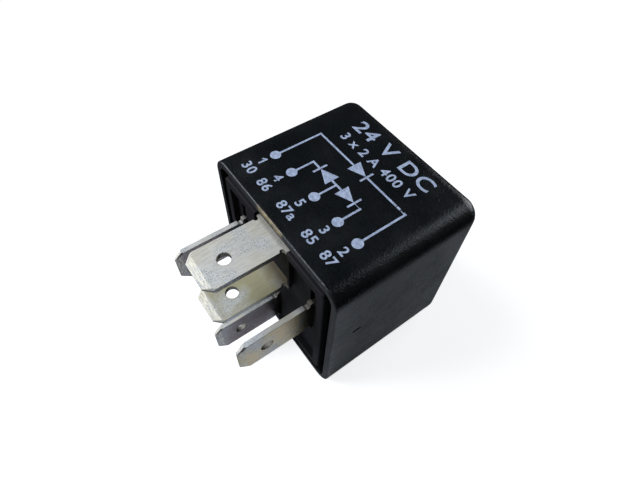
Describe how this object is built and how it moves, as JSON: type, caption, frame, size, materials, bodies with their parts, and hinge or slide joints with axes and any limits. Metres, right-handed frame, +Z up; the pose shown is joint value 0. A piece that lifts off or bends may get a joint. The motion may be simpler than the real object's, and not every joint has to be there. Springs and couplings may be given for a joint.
{
  "type": "diode module in a mini relay case",
  "caption": "Square black plug-in module with flat blade terminals on one end and rectifier diodes inside, in a mini relay's case",
  "frame": {"origin": "middle of the object's footprint, on the face that it lies on, opposite the printed face", "axes": "+Z up through the printed face, -Y along the blades out of the case, +X across the case towards terminal 85"},
  "size_m": [0.0276, 0.0348, 0.0276],
  "materials": {
    "cover_plastic": "black moulded nylon, satin gloss",
    "base_plastic": "black moulded nylon, satin",
    "terminal_plate": "stamped brass with dull bright tin plate",
    "diode_epoxy": "moulded black epoxy",
    "lead_wire": "tinned copper wire",
    "solder": "soft solder"
  },
  "bodies": {
    "root": {"cover": "cover_plastic", "base": "base_plastic", "terminal_30": "terminal_plate", "terminal_85": "terminal_plate", "terminal_86": "terminal_plate", "terminal_87": "terminal_plate", "terminal_87a": "terminal_plate", "diode_87_body": "diode_epoxy", "diode_87_anode_lead": "lead_wire", "diode_87_cathode_lead": "lead_wire", "diode_86_body": "diode_epoxy", "diode_86_anode_lead": "lead_wire", "diode_86_cathode_lead": "lead_wire", "diode_85_body": "diode_epoxy", "diode_85_anode_lead": "lead_wire", "diode_85_cathode_lead": "lead_wire", "solder_30": "solder", "solder_85": "solder", "solder_86": "solder", "solder_87": "solder", "solder_87a": "solder"}
  },
  "joints": []
}
